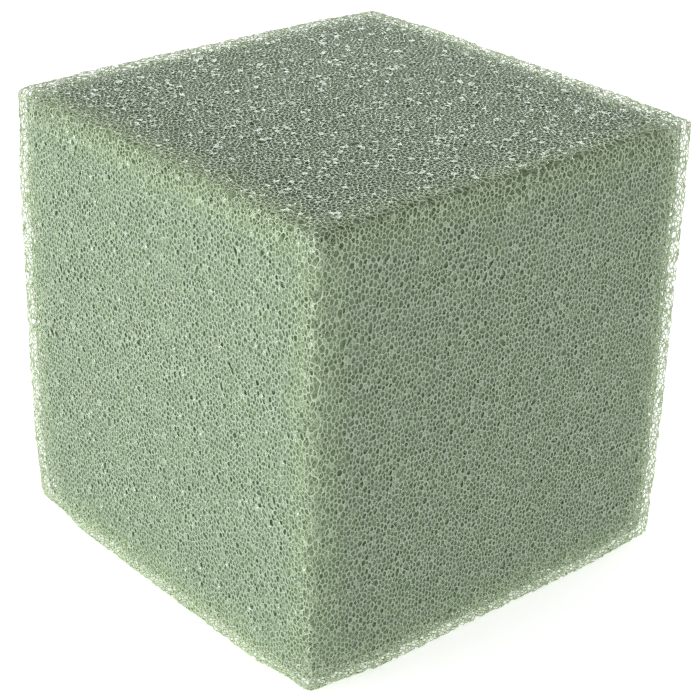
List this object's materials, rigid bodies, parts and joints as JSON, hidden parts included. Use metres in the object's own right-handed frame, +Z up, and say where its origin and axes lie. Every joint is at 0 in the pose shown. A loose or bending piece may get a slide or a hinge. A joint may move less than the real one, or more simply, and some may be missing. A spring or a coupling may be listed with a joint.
{
  "type": "floral foam block",
  "caption": "Cube of green open-cell foam that holds water and cut flower stems, with lightly rounded edges.",
  "frame": {"origin": "middle of the base", "axes": "+Z up through the top face, +X and +Y square to two of the side faces"},
  "size_m": [0.08, 0.08, 0.08],
  "materials": {
    "foam": "matte"
  },
  "bodies": {
    "root": {"foam_block": "foam"}
  },
  "joints": []
}
